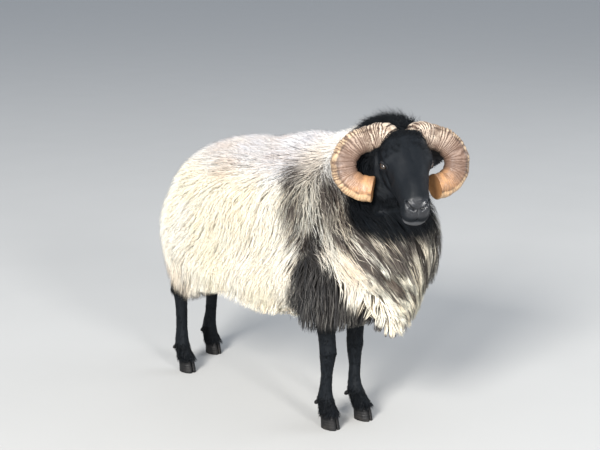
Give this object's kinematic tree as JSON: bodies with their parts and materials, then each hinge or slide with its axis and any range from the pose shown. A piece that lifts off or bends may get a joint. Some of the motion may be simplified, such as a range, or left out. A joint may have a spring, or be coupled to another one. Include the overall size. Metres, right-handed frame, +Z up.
{
  "type": "horned heath ram",
  "caption": "Life-size standing horned heath ram, still: black face and legs, long pale fleece with a chest mane, and curled ridged horns with sawn-off tips.",
  "frame": {"origin": "middle of the bottom of the bounding box, on the floor under the belly", "axes": "-Y the way the ram's body faces, +X its left side, +Z up"},
  "size_m": [0.4704, 1.1166, 0.8766],
  "materials": {
    "fleece": "long straight matte wool in locks, cream and white with grey-brown strands",
    "dark_hair": "short black hair with a faint sheen, shaggy black-grey on the upper legs",
    "horn": "ridged brown and cream horn, amber near the sawn ends",
    "hoof": "dark horn, satin",
    "eye": "dark amber, wet gloss"
  },
  "bodies": {
    "root": {"head": "dark_hair", "neck": "fleece", "trunk": "fleece", "tail": "fleece", "ear_left": "dark_hair", "ear_right": "dark_hair", "eye_left": "eye", "eye_right": "eye", "horn_left": "horn", "horn_right": "horn", "foreleg_left": "dark_hair", "foreleg_right": "dark_hair", "hindleg_left": "dark_hair", "hindleg_right": "dark_hair", "foreleg_left_claw_inner": "hoof", "foreleg_left_claw_outer": "hoof", "foreleg_left_dewclaw_inner": "hoof", "foreleg_left_dewclaw_outer": "hoof", "foreleg_right_claw_inner": "hoof", "foreleg_right_claw_outer": "hoof", "foreleg_right_dewclaw_inner": "hoof", "foreleg_right_dewclaw_outer": "hoof", "hindleg_left_claw_inner": "hoof", "hindleg_left_claw_outer": "hoof", "hindleg_left_dewclaw_inner": "hoof", "hindleg_left_dewclaw_outer": "hoof", "hindleg_right_claw_inner": "hoof", "hindleg_right_claw_outer": "hoof", "hindleg_right_dewclaw_inner": "hoof", "hindleg_right_dewclaw_outer": "hoof"}
  },
  "joints": []
}
